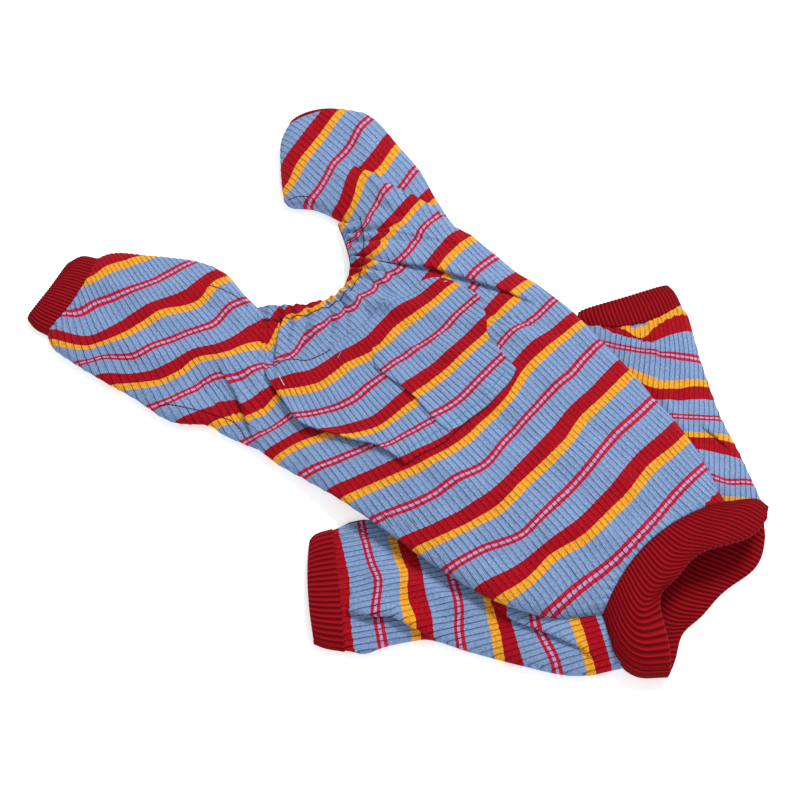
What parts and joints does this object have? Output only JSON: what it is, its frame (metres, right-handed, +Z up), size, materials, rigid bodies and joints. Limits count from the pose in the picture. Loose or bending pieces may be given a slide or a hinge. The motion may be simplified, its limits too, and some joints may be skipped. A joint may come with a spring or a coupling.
{
  "type": "dog jumpsuit",
  "caption": "Dog jumpsuit of striped wide-rib knit, laid flat: a body tube with gathered neck, front sleeves, hind legs folded forward, ribbed cuffs, an open rear band and a patch pocket.",
  "frame": {"origin": "under the middle of the laid garment, on the surface it lies on", "axes": "+Y from the rear band to the neck, +Z up out of the surface, +X to the right of the neck seen from above"},
  "size_m": [0.4027, 0.5658, 0.0386],
  "materials": {
    "striped_knit": "wide-rib cotton knit with crosswise stripes of crimson, yellow and paired thin red lines on heathered light blue",
    "crimson_rib": "two-by-two rib knit in deep crimson, matt"
  },
  "bodies": {
    "root": {"torso": "striped_knit", "neck_casing": "striped_knit", "front_left_sleeve": "striped_knit", "front_left_cuff": "crimson_rib", "front_right_sleeve": "striped_knit", "front_right_cuff": "crimson_rib", "hind_left_leg": "striped_knit", "hind_left_cuff": "crimson_rib", "hind_right_leg": "striped_knit", "hind_right_cuff": "crimson_rib", "rear_band": "crimson_rib", "pocket": "striped_knit"}
  },
  "joints": []
}
